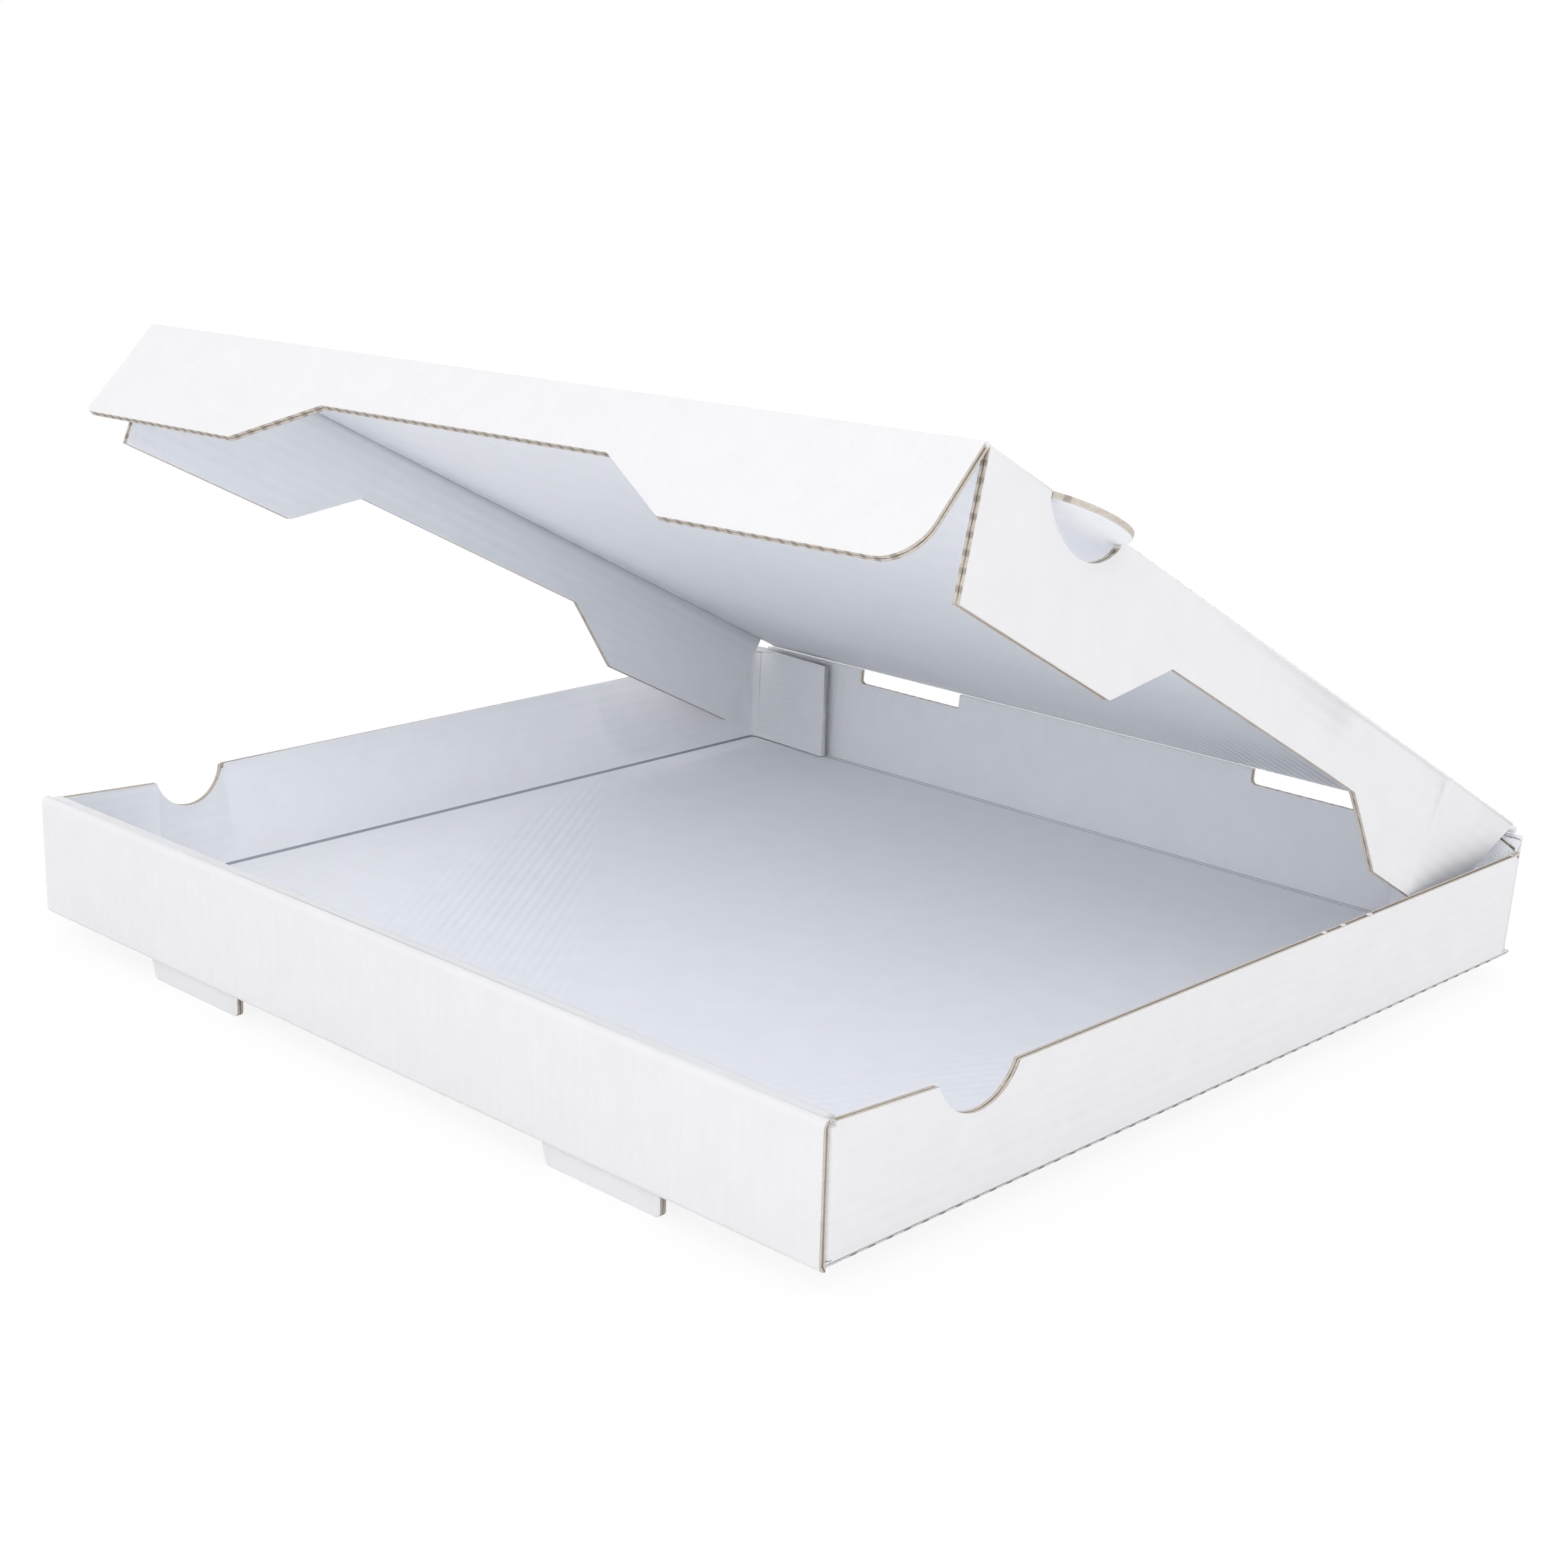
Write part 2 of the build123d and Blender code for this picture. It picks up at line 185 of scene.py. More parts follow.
def seen_directly(tree):
    """1 for rays of the camera and for glossy and clear rays, which see plain white."""
    path = add(tree, "ShaderNodeLightPath")
    seen = add(tree, "ShaderNodeMath", {0: path.outputs["Is Camera Ray"],
                                        1: path.outputs["Is Glossy Ray"]}, operation="MAXIMUM")
    seen = add(tree, "ShaderNodeMath", {0: seen.outputs[0],
                                        1: path.outputs["Is Transmission Ray"]},
               operation="MAXIMUM")
    return seen.outputs[0]


def make_floor():
    """A large square under the lowest point of the box."""
    data = bpy.data.meshes.new("studio_floor")
    corners = [(-1, -1), (1, -1), (1, 1), (-1, 1)]
    data.from_pydata([(x * FLOOR_REACH, y * FLOOR_REACH, FLOOR_HEIGHT) for x, y in corners],
                     [], [(0, 1, 2, 3)])
    floor = placed("studio_floor", data)
    material = new_material("matt_white_paper_sweep")
    tree = material.node_tree
    seen = seen_directly(tree)
    matt = add(tree, "ShaderNodeBsdfDiffuse", {"Color": linear(FLOOR_WHITE)})
    glow = add(tree, "ShaderNodeEmission", {"Color": linear("FFFFFF"), "Strength": 1.0})
    lift = add(tree, "ShaderNodeMath", {0: seen, 1: FLOOR_LIFT}, operation="MULTIPLY")
    mix = add(tree, "ShaderNodeMixShader", {0: lift.outputs[0], 1: matt.outputs[0],
                                            2: glow.outputs[0]})
    add(tree, "ShaderNodeOutputMaterial", {"Surface": mix.outputs[0]})
    data.materials.append(material)


def make_world():
    """The light tent: an even light on the box, and plain white for the camera."""
    world = bpy.data.worlds.new("light_tent")
    bpy.context.scene.world = world
    world.use_nodes = True
    tree = world.node_tree
    tree.nodes.clear()
    seen = seen_directly(tree)
    tent = add(tree, "ShaderNodeBackground", {"Color": linear(TENT_WHITE),
                                              "Strength": TENT_STRENGTH})
    white = add(tree, "ShaderNodeBackground", {"Color": linear("FFFFFF"), "Strength": 1.0})
    mix = add(tree, "ShaderNodeMixShader", {0: seen, 1: tent.outputs[0], 2: white.outputs[0]})
    add(tree, "ShaderNodeOutputWorld", {"Surface": mix.outputs[0]})


def make_lamp(name, place, size, watts):
    """A round softbox that looks at the box's lower middle."""
    data = bpy.data.lights.new(name, "AREA")
    data.shape = "DISK"
    data.size = size
    data.energy = watts
    lamp = placed(name, data)
    place = Vector(place)
    aim = (place - LAMP_AIM).to_track_quat("Z", "Y")
    lamp.matrix_world = Matrix.Translation(place) @ aim.to_matrix().to_4x4()


bpy.context.scene.view_settings.view_transform = "Standard"
make_floor()
make_world()
make_lamp("front_softbox", (0.75, -0.85, 1.15), 1.2, 3.0)
make_lamp("low_front_softbox", (0.5, -1.25, 0.32), 1.0, 1.0)
make_lamp("top_softbox", (-0.2, 0.3, 1.7), 1.2, 2.0)
print("floor at", round(FLOOR_HEIGHT / mm, 2), "mm")

# %% [markdown]
# The white liners. Paper over flutes sinks between them by some hundredths of a millimetre, so
# a raking light shows soft ribs. They could be a pattern on Object coordinates, but the flutes
# turn with each folded panel, so the ribs follow an attribute of the mesh that holds the
# distance across the flutes. On the lid's inside the ribs show clearly only above the two
# vents, where light falls in along the liner, so there their shade is painted in as well.

# %% Ribs of the flutes, and their painted shade
VENT_CENTRE = 70.5 * mm
RAKED_SIDEWAYS = (20 * mm, 45 * mm)   # from a vent's centre: full to here, gone there
RAKED_TO_HINGE = (88 * mm, 120 * mm)  # along Y: starts here, full there
# Tone of the shade painted on the ribs above the vents
RAKED_SHADE_GREY = "B4B7BF"


def flute_wave(tree):
    """The wave of the flutes as a cosine, which repeats with every flute."""
    across = add(tree, "ShaderNodeAttribute", attribute_name="across_flutes").outputs["Fac"]
    turn = add(tree, "ShaderNodeMath", {0: across, 1: 2 * math.pi / FLUTE_PITCH},
               operation="MULTIPLY")
    return add(tree, "ShaderNodeMath", {0: turn.outputs[0]}, operation="COSINE").outputs[0]


def painted_rib_shade(tree, colour, wave, split):
    """Painted shade of the lid's ribs: darker above the two vents, where light rakes along the
    liner.
    """
    side = add(tree, "ShaderNodeMath", {0: split["X"]}, operation="ABSOLUTE")
    from_vent = add(tree, "ShaderNodeMath", {0: side.outputs[0], 1: VENT_CENTRE},
                    operation="SUBTRACT")
    from_vent = add(tree, "ShaderNodeMath", {0: from_vent.outputs[0]}, operation="ABSOLUTE")
    near_vent = add(tree, "ShaderNodeMapRange", {"Value": from_vent.outputs[0],
                                                 "From Min": RAKED_SIDEWAYS[0],
                                                 "From Max": RAKED_SIDEWAYS[1],
                                                 "To Min": 1.0, "To Max": 0.0})
    near_hinge = add(tree, "ShaderNodeMapRange", {"Value": split["Y"],
                                                  "From Min": RAKED_TO_HINGE[0],
                                                  "From Max": RAKED_TO_HINGE[1]})
    near = add(tree, "ShaderNodeMath", {0: near_vent.outputs[0], 1: near_hinge.outputs[0]},
               operation="MULTIPLY")
    # Only the upper part of the wave is painted as shade, and at its top at half strength
    valley = add(tree, "ShaderNodeMapRange", {"Value": wave, "From Min": 0.2, "From Max": 1.0,
                                              "To Max": 0.5})
    shade_mask = add(tree, "ShaderNodeMath", {0: near.outputs[0], 1: valley.outputs[0]},
               operation="MULTIPLY")
    return add(tree, "ShaderNodeMix", {0: shade_mask.outputs[0], 6: colour, 7: linear(RAKED_SHADE_GREY)},
               data_type="RGBA").outputs[2]


print("vents' centres at", round(VENT_CENTRE / mm, 2), "mm from the middle")

# %% [markdown]
# A crease is a line that the die has pressed into the board, so that it folds there. Shade
# falls into it and makes it darker. It could be a groove in the mesh, but it is so shallow that
# only its shade is drawn: a painted tone, full in the middle, that fades to both sides.

# %% Painted shade of the creases
def painted_crease_shade(tree, colour, split, creases):
    """The colour with the painted shade of creases over it. Each is the axis across it, its
    place, its half width, the height above which it isn't drawn, and its tone of shade."""
    for axis, at, half_width, top, tone in creases:
        offset = add(tree, "ShaderNodeMath", {0: split[axis], 1: at}, operation="SUBTRACT")
        offset = add(tree, "ShaderNodeMath", {0: offset.outputs[0]}, operation="ABSOLUTE")
        line = add(tree, "ShaderNodeMapRange", {"Value": offset.outputs[0],
                                                "From Min": 0.4 * half_width,
                                                "From Max": half_width, "To Min": 1.0,
                                                "To Max": 0.0})
        low = add(tree, "ShaderNodeMath", {0: split["Z"], 1: top}, operation="LESS_THAN")
        shade_mask = add(tree, "ShaderNodeMath", {0: line.outputs[0], 1: low.outputs[0]},
                   operation="MULTIPLY").outputs[0]
        colour = add(tree, "ShaderNodeMix", {0: shade_mask, 6: colour, 7: linear(tone)},
                     data_type="RGBA").outputs[2]
    return colour


SIDE_CREASE = 130 * mm
REAR_CREASES = (123.3 * mm, 121.9 * mm)
LID_CREASE = 127.5 * mm
# Tones of the shade painted in the creases
CREASE_SHADE_GREY = "A3A7B0"
LID_CREASE_SHADE_GREY = "747781"
ANY_HEIGHT = 1.0  # above the whole box

tray_crease_shades = (
    ("X", -SIDE_CREASE, 0.4 * mm, 2.2 * mm, CREASE_SHADE_GREY),
    ("X", SIDE_CREASE, 0.35 * mm, 2.2 * mm, CREASE_SHADE_GREY),
    ("Y", REAR_CREASES[0], 0.25 * mm, 1.8 * mm, CREASE_SHADE_GREY),
    ("Y", REAR_CREASES[1], 0.25 * mm, 1.8 * mm, CREASE_SHADE_GREY),
)
lid_crease_shades = (("X", -LID_CREASE, 1.0 * mm, ANY_HEIGHT, LID_CREASE_SHADE_GREY),)
print("creases drawn on the tray:", len(tray_crease_shades), "and on the lid:", len(lid_crease_shades))

# %% [markdown]
# The outside is clay-coated liner, smoother, with a faint sheen. The inside is plain bleached
# liner, rougher and a little whiter and bluer. Both are the same paper with other numbers, so
# one function makes them. Tray and lid each have their own inside, because each has its own
# painted shade: of its creases, and on the lid also of its ribs.

# %% White paper liners
RIB_HEIGHT = 0.06 * mm
CLOUD_SIZE = 8 * mm
FIBRE_SIZE = 0.3 * mm  # real fibres are 0.02 mm thick and wouldn't show
FIBRE_HEIGHT = 0.02 * mm
COATED = ("E4E4E5", "E1E1E2", 0.5)  # light and shaded tone, roughness
PLAIN = ("F5F7FB", "F2F4F8", 0.72)


def bleached_liner(name, light, shade, roughness, creases=(), raked=False):
    """Paper liner over flutes, with the painted shade of any creases given. A raked one has the
    shade of its ribs painted above the vents.
    """
    material = new_material(name)
    tree = material.node_tree
    place = add(tree, "ShaderNodeTexCoord").outputs["Object"]
    # Formation: paper looks cloudy where its fibres lie thicker or thinner
    cloud = add(tree, "ShaderNodeTexNoise", {"Vector": place, "Scale": 1 / CLOUD_SIZE,
                                             "Detail": 5.0, "Roughness": 0.6})
    cloud = add(tree, "ShaderNodeMapRange", {"Value": cloud.outputs[0], "From Min": 0.3,
                                             "From Max": 0.7})
    colour = add(tree, "ShaderNodeMix", {0: cloud.outputs[0], 6: linear(shade),
                                         7: linear(light)}, data_type="RGBA").outputs[2]
    # Fibres: a fine grain over all of it
    fibre = add(tree, "ShaderNodeTexNoise", {"Vector": place, "Scale": 1 / FIBRE_SIZE,
                                             "Detail": 3.0})
    # Ribs: one wave of the liner for each flute under it
    rib = flute_wave(tree)
    height = add(tree, "ShaderNodeMath", {0: rib, 1: RIB_HEIGHT / 2}, operation="MULTIPLY")
    grain = add(tree, "ShaderNodeMath", {0: fibre.outputs[0], 1: FIBRE_HEIGHT},
                operation="MULTIPLY")
    height = add(tree, "ShaderNodeMath", {0: height.outputs[0], 1: grain.outputs[0]},
                 operation="ADD").outputs[0]
    split = add(tree, "ShaderNodeSeparateXYZ", {0: place}).outputs
    # Painted shade: the ribs above the vents, where light rakes in
    if raked:
        colour = painted_rib_shade(tree, colour, rib, split)
    # Painted shade in the creases
    colour = painted_crease_shade(tree, colour, split, creases)
    bump = add(tree, "ShaderNodeBump", {"Height": height, "Distance": 1.0, "Strength": 1.0})
    paper = add(tree, "ShaderNodeBsdfPrincipled", {"Base Color": colour,
                                                   "Roughness": roughness, "IOR": 1.5,
                                                   "Specular IOR Level": 0.3,
                                                   "Normal": bump.outputs[0]})
    add(tree, "ShaderNodeOutputMaterial", {"Surface": paper.outputs[0]})
    return material


coated_liner = bleached_liner("clay_coated_white_liner", *COATED)
inner_liner = bleached_liner("bleached_inner_liner", *PLAIN)
tray_liner = bleached_liner("bleached_inner_liner_of_tray_with_crease_shade", *PLAIN, tray_crease_shades)
lid_liner = bleached_liner("bleached_inner_liner_of_lid_with_painted_shade", *PLAIN, lid_crease_shades, raked=True)
for material in (coated_liner, inner_liner, tray_liner, lid_liner):
    print(material.name, len(material.node_tree.nodes), "nodes")

# %% [markdown]
# The brown paper. Under the liners the fluting is unbleached kraft, the same rough brown in
# every cut. Where a cut crosses the flutes, shade falls into the hollow under each wave, and
# that shade is painted along the same attribute as the ribs. In the cuts of the perforation the
# kraft is painted darker and greyer, for the shade inside the opened cuts.

# %% Kraft paper
KRAFT_FIBRE_SIZE = 0.8 * mm
KRAFT_FIBRE_HEIGHT = 0.05 * mm
# Share of the shade painted in where a hollow is deepest
HOLLOW_SHADE_SHARE = 0.5  # how much of the hollow's tone is mixed in where it is deepest


def kraft_paper(name, light, dark, hollow_shade_tone):
    """Unbleached kraft: brown and rough, with shade painted darker in the hollow under each
    flute.
    """
    material = new_material(name)
    tree = material.node_tree
    place = add(tree, "ShaderNodeTexCoord").outputs["Object"]
    fibre = add(tree, "ShaderNodeTexNoise", {"Vector": place, "Scale": 1 / KRAFT_FIBRE_SIZE,
                                             "Detail": 4.0})
    tone = add(tree, "ShaderNodeMapRange", {"Value": fibre.outputs[0], "From Min": 0.3,
                                            "From Max": 0.7})
    colour = add(tree, "ShaderNodeMix", {0: tone.outputs[0], 6: linear(dark),
                                         7: linear(light)}, data_type="RGBA").outputs[2]
    hollow = add(tree, "ShaderNodeMapRange", {"Value": flute_wave(tree), "From Min": 0.1,
                                              "From Max": 0.7, "To Max": HOLLOW_SHADE_SHARE})
    colour = add(tree, "ShaderNodeMix", {0: hollow.outputs[0], 6: colour,
                                         7: linear(hollow_shade_tone)},
                 data_type="RGBA").outputs[2]
    height = add(tree, "ShaderNodeMath", {0: fibre.outputs[0], 1: KRAFT_FIBRE_HEIGHT},
                 operation="MULTIPLY")
    bump = add(tree, "ShaderNodeBump", {"Height": height.outputs[0], "Distance": 1.0})
    paper = add(tree, "ShaderNodeBsdfPrincipled", {"Base Color": colour, "Roughness": 0.9,
                                                   "Normal": bump.outputs[0]})
    add(tree, "ShaderNodeOutputMaterial", {"Surface": paper.outputs[0]})
    return material


# The third tone of each is the shade painted in its hollows
cut_kraft = kraft_paper("cut_kraft_core", "CDC6BC", "BCB3A7", "6F6459")
# Painted shade: the dark tone inside the opened cuts of the perforation
perforation_shade_kraft = kraft_paper("perforation_cut_shade", "938A80", "7D756C", "7D756C")
flute_kraft = kraft_paper("fluted_kraft_paper", "D3C7B7", "C0B29F", "84766A")
for material in (cut_kraft, perforation_shade_kraft, flute_kraft):
    print(material.name, len(material.node_tree.nodes), "nodes")

# %% [markdown]
# The flutes of the real sheet all run the same way, from front to rear on the base. Where a
# panel is folded up along them, the direction across them folds up too. One function gives
# that direction for any point, and another the distance along it.

# %% How the flutes lie on each panel
WALL_INSIDE = 129.5 * mm   # just within a side wall
WALL_FOOT = 1.2 * mm       # height at which the bend of a side wall is halfway up
FRONT_PANEL = -123.8 * mm  # just behind the front panel
TUCK_END = 97 * mm         # a rear tuck flap reaches in to here
TUCK_FRONT = 112 * mm      # a rear tuck flap lies behind this
TUCK_REAR = 123.4 * mm     # and before this
TUCK_FOOT = 1.8 * mm       # and stands clear of the base from here up


def lid_height(point):
    """How far a point is above the plane of the lid's pin."""
    return (Vector(point) - hinge).dot(lid_up)


def is_tray_rear_tuck(point):
    """Whether a point of the tray is on one of the two flaps tucked behind its corners."""
    return (abs(point.x) > TUCK_END and TUCK_FRONT < point.y < TUCK_REAR
            and point.z > TUCK_FOOT)


def is_upright_side(point, normal):
    """Whether a point of the tray is on a side wall or on a tuck flap that grows from one."""
    on_wall = (abs(point.x) > WALL_INSIDE and abs(normal.y) < 0.7 and point.z > WALL_FOOT
               and point.y > FRONT_PANEL)
    return on_wall or is_tray_rear_tuck(point)


def across_direction(node, point, normal):
    """The direction across the flutes. It turns with each folded panel."""
    if node in ("lid_left_flap", "lid_right_flap"):
        return -lid_up
    if node == "tray" and is_upright_side(point, normal):
        return Vector((0, 0, 1))
    return Vector((1, 0, 0))


def across_flutes(node, point, normal):
    """Distance across the flutes, in metres, for a point on one of the panels."""
    if node in ("lid_left_flap", "lid_right_flap"):
        return -lid_height(point)
    return point.dot(across_direction(node, point, normal))


left_flap_across = across_direction("lid_left_flap", hinge, lid_up)
print("across the left flap's flutes:", [round(value, 2) for value in left_flap_across])

# %% [markdown]
# The two sides of the sheet have different liners. When the box is closed, one side is all
# inside, so for the lid and its flaps the direction of a face tells which one it has. On the
# tray it also depends on the place, because the rolled front carries the outside liner over
# its top and down into the box.

# %% Which liner a face has
SIDE_WALL = 129 * mm      # from here outward a point is on a side wall
ROLLED_FRONT = -122 * mm  # from here forward a point is on the rolled front
REAR_PANELS = 100 * mm    # from here back a point is on the rear wall or a rear tuck flap
BASE_TOP = 2.5 * mm       # the base and its bends lie below this


def faces_inward(node, centre, normal):
    """Whether a liner face is on the side of the sheet that is inside when the box closes."""
    if node == "lid":
        return normal.dot(lid_up) < -0.5
    if node == "lid_left_flap":
        return normal.x > 0.5
    if node == "lid_right_flap":
        return normal.x < -0.5
    if node == "lid_front_flap":
        return normal.dot(lid_forward) < -0.3
    if abs(centre.x) > SIDE_WALL and centre.z > BOARD and centre.y > ROLLED_FRONT:
        return normal.x * centre.x < 0
    if centre.y > REAR_PANELS and centre.z > 1.7 * mm:
        return normal.y < -0.5
    return normal.z > 0.5 and centre.z < BASE_TOP


print("the lid's lower side is inside:", faces_inward("lid", hinge, -lid_up))

# %% [markdown]
# A fold is not a cut: its faces are as short as a cut edge's, but the sheet goes on there and
# stays white. No rule of shape tells the two apart, so the places of the folds are listed, as
# distances from the middle of the base, and for the lid's flaps from the line they fold on.

# %% Where the sheet is folded
LID_EDGE = 127.9 * mm     # half the lid's width, where its side flaps begin
FLAP_BEND = 1.3 * mm      # how far a flap's bend reaches from its fold line
BASE_BEND = 2.2 * mm      # height of the bends around the base
PANEL_END = 131.5 * mm    # just within the front panel's two cut ends
FRONT_BENDS = -120 * mm   # the bends of the rolled front lie in front of this
LEDGE_FOOT = 27.5 * mm    # height at which the ledge of the rolled front starts
FRONT_TUCK = 129.8 * mm   # from here outward a front tuck flap bends off its side wall
FRONT_TUCK_TOP = 28 * mm
HINGE_FRONT = 120 * mm    # the bend to the lid lies behind this
HINGE_FOOT = 28.5 * mm    # height at which the bend to the lid starts
TUCK_BACK = 123.3 * mm    # a rear tuck flap ends just before the rear wall
CORNER = (127.5 * mm, 119 * mm)  # a rear corner lies outside and behind this
CORNER_CUT = 129.9 * mm   # from here outward a level face at a rear corner is a cut


def from_fold(node, point):
    """Distance of a point from the line that a flap folds on."""
    joint = joints[node[4:] + "_fold"]
    offset = point - Vector(joint["pos_m"])
    along = Vector(joint["axis"]).normalized()
    return (offset - along * offset.dot(along)).length


def is_fold(node, point, normal):
    """Whether a point lies on a folded edge, where the sheet goes on and isn't cut."""
    if node == "lid":
        return abs(point.x) < LID_EDGE
    if node != "tray":
        return from_fold(node, point) < FLAP_BEND
    side = abs(point.x)
    if side > PANEL_END and point.y < FRONT_PANEL:
        return False
    in_base_bend = -0.1 * mm < point.z < BASE_BEND
    in_ledge = point.y < FRONT_BENDS and point.z > LEDGE_FOOT
    in_front_tuck = (side > FRONT_TUCK and FRONT_PANEL < point.y < FRONT_BENDS
                     and point.z < FRONT_TUCK_TOP)
    in_hinge = point.y > HINGE_FRONT and point.z > HINGE_FOOT and abs(normal.x) < 0.5
    in_rear_corner = (side > TUCK_END and TUCK_FRONT < point.y < TUCK_BACK
                      or side > CORNER[0] and point.y > CORNER[1])
    in_rear_corner = in_rear_corner and (abs(normal.z) < 0.6 or side < CORNER_CUT)
    return in_base_bend or in_ledge or in_front_tuck or in_hinge or in_rear_corner


print("folds with a joint:", sorted(joints))

# %% [markdown]
# Each board starts as a copy of the solid model's piece. The frame's meshes are loose
# triangles, so the copy's doubles are merged first. A ray sent into the board from each
# triangle then tells what the triangle is: if it leaves through the other face after one
# board's thickness, it is a liner, and if not, it is a cut edge.

# %% What each face of the board is
OUTSIDE, INSIDE, CUT = 0, 1, 2  # the order of the finishes on each board


def face_kind(node, surface, centre, normal):
    """CUT, INSIDE or OUTSIDE for a face, from a ray that starts just under it."""
    if not is_fold(node, centre, normal):
        start = centre - normal * (0.02 * mm)
        place, other = surface.ray_cast(start, -normal, 1.5 * BOARD)[:2]
        if place is None or abs(other.dot(normal)) <= 0.8:
            return CUT
    return INSIDE if faces_inward(node, centre, normal) else OUTSIDE


def classified_copy(node):
    """A merged copy of a node's mesh, with its faces marked OUTSIDE, INSIDE or CUT."""
    shape = bmesh.new()
    shape.from_mesh(frame["nodes"][node].data)
    bmesh.ops.remove_doubles(shape, verts=shape.verts, dist=0.002 * mm)
    bmesh.ops.dissolve_degenerate(shape, edges=shape.edges, dist=0.001 * mm)
    shape.normal_update()
    surface = BVHTree.FromBMesh(shape)
    for face in shape.faces:
        face.material_index = face_kind(node, surface, face.calc_center_median(), face.normal)
    bmesh.ops.dissolve_limit(shape, angle_limit=math.radians(0.4), verts=shape.verts,
                             edges=shape.edges, delimit={"MATERIAL"})
    shape.normal_update()
    kinds = [face.material_index for face in shape.faces]
    print(node, "outside, inside, cut:", [kinds.count(kind) for kind in (OUTSIDE, INSIDE, CUT)])
    return shape


inside_finishes = {
    "tray": tray_liner,
    "lid": lid_liner,
    "lid_front_flap": inner_liner,
    "lid_left_flap": inner_liner,
    "lid_right_flap": inner_liner,
}
shapes = {node: classified_copy(node) for node in inside_finishes}

# %% [markdown]
# The brown paper will follow the middle of each cut edge, halfway between the two liners. That
# line is where a cut face meets a liner face, moved in by half a board. At a corner two edges
# meet, so their directions are averaged there and the line turns without a gap.

# %% The middle lines of the cut edges
def cut_edge_paths(node, shape):
    """The middle line of each cut edge: points with the direction across the board, the
    direction into it, and the distance across the flutes."""
    points, lines = {}, []
    for edge in shape.edges:
        if len(edge.link_faces) != 2:
            continue
        kinds = [face.material_index == CUT for face in edge.link_faces]
        if kinds[0] == kinds[1]:
            continue
        cut, liner = edge.link_faces if kinds[0] else reversed(edge.link_faces)
        biggest = max(range(3), key=lambda axis: abs(liner.normal[axis]))
        if liner.normal[biggest] < 0:
            continue
        keys = []
        for vert in edge.verts:
            middle = vert.co - liner.normal * (BOARD / 2)
            key = (vert.index, biggest)
            point = points.setdefault(key, [Vector(), Vector(), Vector(), 0.0, 0])
            point[0] += middle
            point[1] += liner.normal
            point[2] -= cut.normal
            point[3] += across_flutes(node, middle, liner.normal)
            point[4] += 1
            keys.append(key)
        lines.append(keys)
    order = {key: number for number, key in enumerate(points)}
    averaged = []
    for middle, out, inward, across, count in points.values():
        averaged.append((middle / count, out.normalized(), inward.normalized(), across / count))
    return averaged, [(order[a], order[b]) for a, b in lines]


board_paths = {node: cut_edge_paths(node, shape) for node, shape in shapes.items()}
for node_name, (points, lines) in board_paths.items():
    print(node_name, len(lines), "lines along its cut edges")

# %% [markdown]
# A cut edge of real board is three layers: two thin white liners with the brown wave between.
# The strip of cut faces is therefore inset by one liner's thickness and pushed inwards, which
# leaves the liners standing as two thin lips with a groove between them. It could be drawn in
# a material instead, but a groove catches the light and the shadow as the real one does.

# %% Open the cut edges
def open_cut_edges(shape):
    """Insets the strip of cut faces by a liner, and sinks what is left between the liners."""
    cut_faces = [face for face in shape.faces if face.material_index == CUT]
    for thickness, depth in ((LINER, 0), (0.01 * mm, -CUT_DEPTH)):
        bmesh.ops.inset_region(shape, faces=cut_faces, use_boundary=True,
                               use_even_offset=False, thickness=thickness, depth=depth)
    bmesh.ops.triangulate(shape, faces=[face for face in shape.faces if len(face.verts) > 4])


for node_name, shape in shapes.items():
    open_cut_edges(shape)
    print(node_name, len(shape.faces), "faces once opened")

# %% [markdown]
# Every corner of every face now gets its distance across the flutes, which the liners' ribs
# and the shade painted in the kraft's hollows follow. A cut that runs along the flutes shows
# no hollows, so its faces all get one place on the wave where no shade is painted. Then the
# shape becomes a board.

# %% Boards with their finishes
# A place on the wave where no shade of a hollow is painted
BETWEEN_HOLLOWS = FLUTE_PITCH / 2  # a place on the wave where the kraft shows no hollow
SMOOTH_BELOW = math.radians(28)    # softer bends than this are shaded smooth


def mark_flutes(node, shape):
    """Writes the distance across the flutes on every corner, for the ribs and the hollows'
    painted shade.
    """
    layer = shape.loops.layers.float.new("across_flutes")
    for face in shape.faces:
        direction = across_direction(node, face.calc_center_median(), face.normal)
        along_cut = face.material_index == CUT and abs(face.normal.dot(direction)) > 0.7
        for loop in face.loops:
            loop[layer] = (BETWEEN_HOLLOWS if along_cut
                           else across_flutes(node, loop.vert.co, face.normal))


def board_from(node, shape, inside_material):
    """The board as an object: outside liner, inside liner and cut kraft."""
    mark_flutes(node, shape)
    data = bpy.data.meshes.new(node + "_board")
    shape.to_mesh(data)
    shape.free()
    for material in (coated_liner, inside_material, cut_kraft):
        data.materials.append(material)
    data.polygons.foreach_set("use_smooth", [True] * len(data.polygons))
    data.set_sharp_from_angle(angle=SMOOTH_BELOW)
    board = placed(node + "_board", data)
    print(board.name, len(data.polygons), "faces")
    return board


boards = {node: board_from(node, shapes[node], finish)
          for node, finish in inside_finishes.items()}

# %% [markdown]
# The wave itself follows a rule, so Geometry Nodes make it. The tree takes the middle lines
# of the cut edges, sets points on them closer than a flute, and moves each point across the
# board by the sine of its place in the flutes. Where an edge crosses the flutes that gives
# the wave, and where it runs along them the place stays the same, so the same rule gives the
# plain line. The line is then pulled into the board as a ribbon and given paper's thickness.

